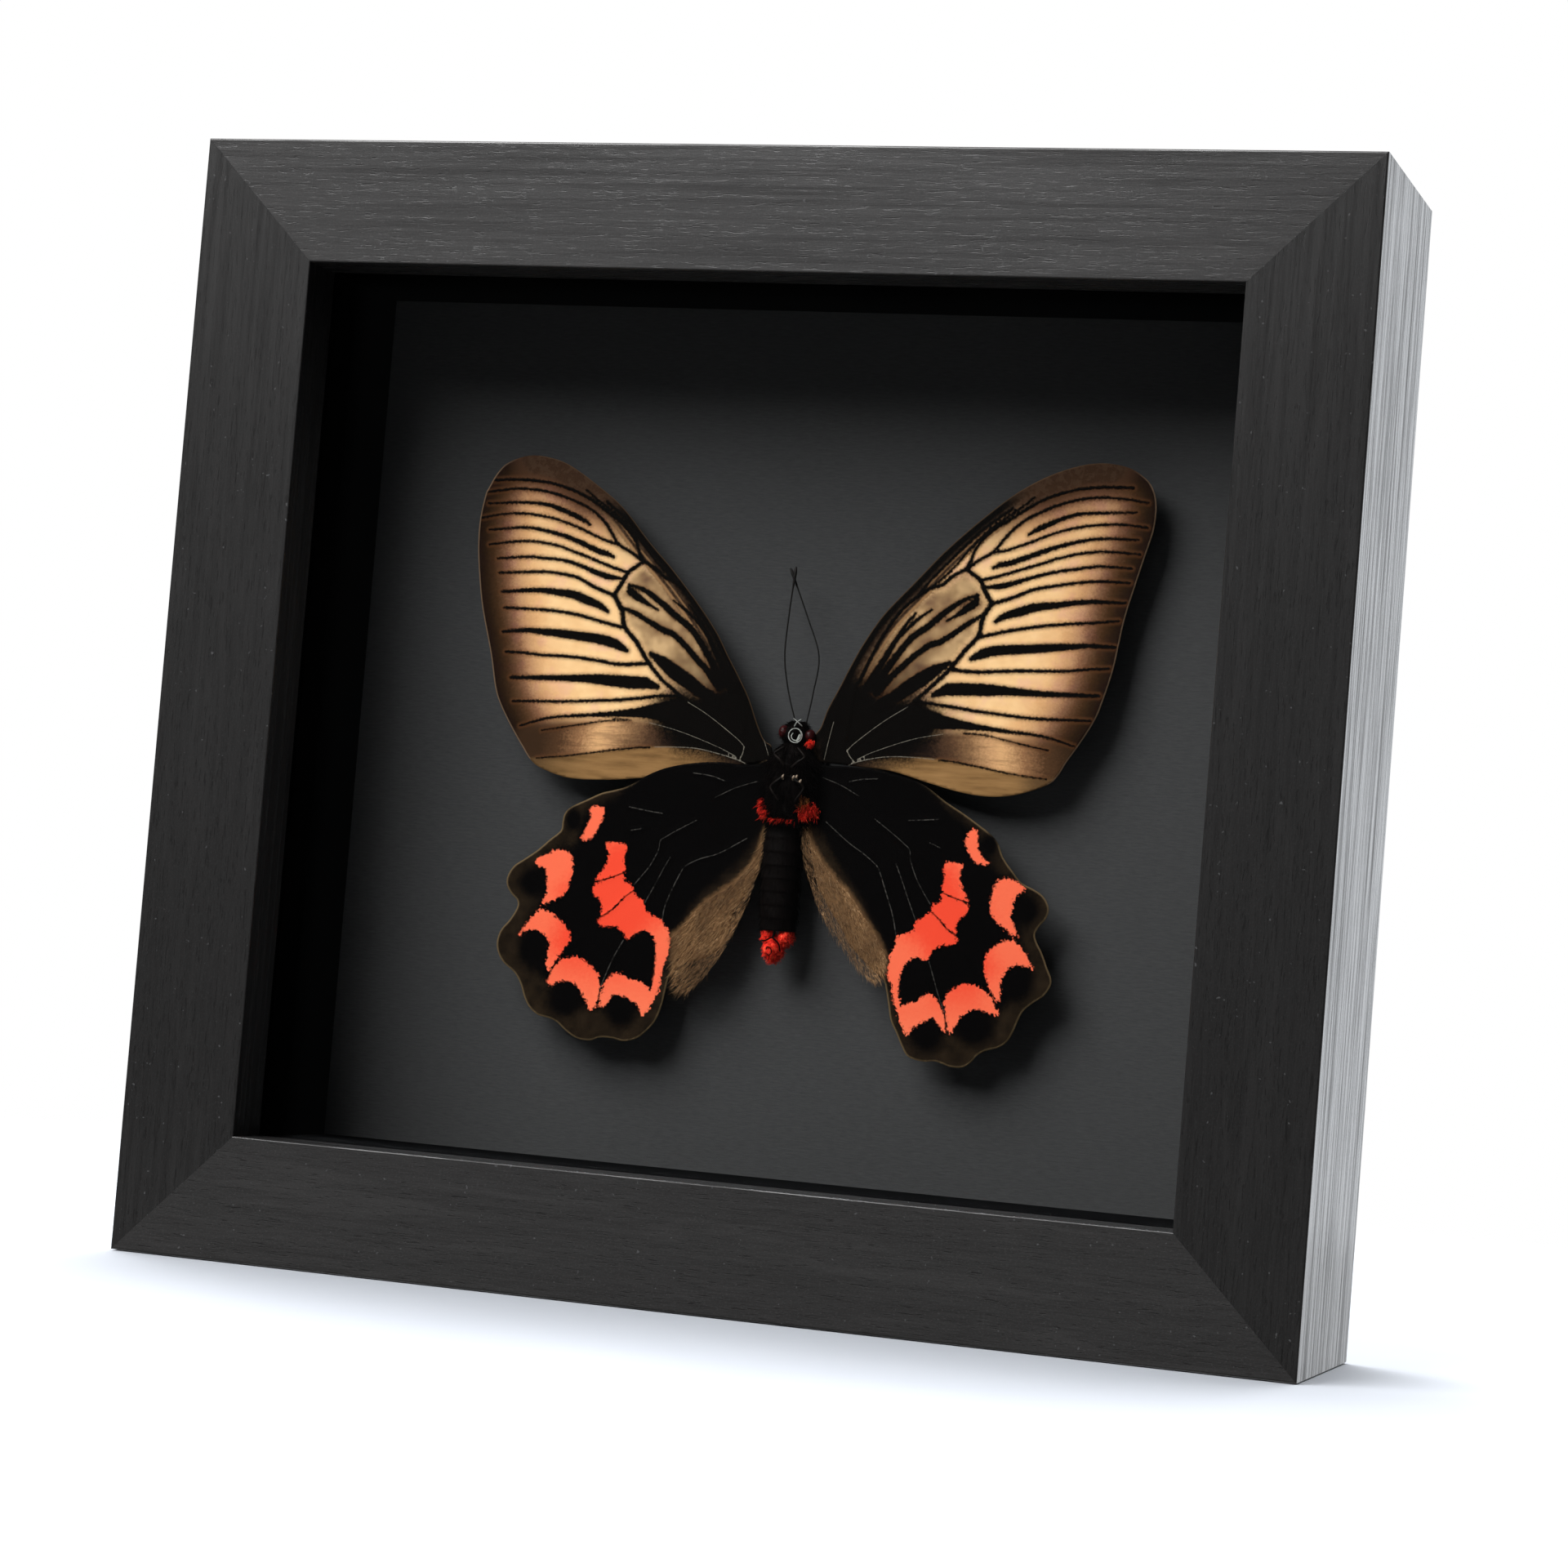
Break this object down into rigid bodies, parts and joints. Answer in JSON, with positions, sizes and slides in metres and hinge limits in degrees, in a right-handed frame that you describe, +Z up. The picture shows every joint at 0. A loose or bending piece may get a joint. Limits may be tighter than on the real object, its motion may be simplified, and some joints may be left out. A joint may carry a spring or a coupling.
{
  "type": "butterfly display case",
  "caption": "Black wooden shadow-box case with a glass front that shows one spread swallowtail on a grey board, closed at the back by a panel under turn buttons.",
  "frame": {"origin": "middle of the case's footprint, on the surface that it stands on", "axes": "+X to the viewer's right, +Y from the glass to the back panel, +Z up"},
  "size_m": [0.2032, 0.0474, 0.1905],
  "materials": {
    "frame_wood": "black stained, satin",
    "nail_steel": "bright",
    "glass": "clear polished",
    "spacer_board": "black matte",
    "board_paper": "fine horizontal laid texture",
    "foam_board": "white",
    "back_hardboard": "brown hardboard",
    "button_steel": "zinc plated",
    "screw_steel": "zinc plated",
    "bumper_rubber": "matte",
    "insect_body": "dull scaled",
    "insect_eye": "semi gloss",
    "insect_tip": "scaled",
    "insect_proboscis": "glossy",
    "insect_leg": "dull",
    "forewing": "scaled, dark veins",
    "hindwing": "scaled, red marks",
    "pad_foam": "black foam"
  },
  "bodies": {
    "case": {"rail_top": "frame_wood", "rail_bottom": "frame_wood", "rail_left": "frame_wood", "rail_right": "frame_wood", "corner_v_nails": "nail_steel", "glass_pane": "glass", "spacer_top": "spacer_board", "spacer_bottom": "spacer_board", "spacer_left": "spacer_board", "spacer_right": "spacer_board", "board_paper": "board_paper", "foam_board": "foam_board", "back_panel": "back_hardboard", "turn_button_screws": "screw_steel", "sawtooth_hanger": "button_steel", "hanger_nails": "screw_steel", "wall_bumper_left": "bumper_rubber", "wall_bumper_right": "bumper_rubber", "head": "insect_body", "eyes": "insect_eye", "thorax": "insect_body", "abdomen": "insect_body", "abdomen_tip": "insect_tip", "antenna_left": "insect_body", "antenna_right": "insect_body", "proboscis": "insect_proboscis", "legs": "insect_leg", "forewing_left": "forewing", "forewing_right": "forewing", "hindwing_left": "hindwing", "hindwing_right": "hindwing", "specimen_pad": "pad_foam"},
    "turn_button_lower_left": {"turn_button_lower_left": "button_steel"},
    "turn_button_upper_left": {"turn_button_upper_left": "button_steel"},
    "turn_button_lower_right": {"turn_button_lower_right": "button_steel"},
    "turn_button_upper_right": {"turn_button_upper_right": "button_steel"}
  },
  "joints": [
    {"name": "turn_button_lower_left_turn", "type": "hinge", "parent": "case", "child": "turn_button_lower_left", "pos_m": [-0.09435, 0.02133, 0.05025], "axis": [0, 1, 0], "continuous": true},
    {"name": "turn_button_upper_left_turn", "type": "hinge", "parent": "case", "child": "turn_button_upper_left", "pos_m": [-0.09435, 0.02133, 0.14025], "axis": [0, 1, 0], "continuous": true},
    {"name": "turn_button_lower_right_turn", "type": "hinge", "parent": "case", "child": "turn_button_lower_right", "pos_m": [0.09435, 0.02133, 0.05025], "axis": [0, 1, 0], "continuous": true},
    {"name": "turn_button_upper_right_turn", "type": "hinge", "parent": "case", "child": "turn_button_upper_right", "pos_m": [0.09435, 0.02133, 0.14025], "axis": [0, 1, 0], "continuous": true}
  ]
}
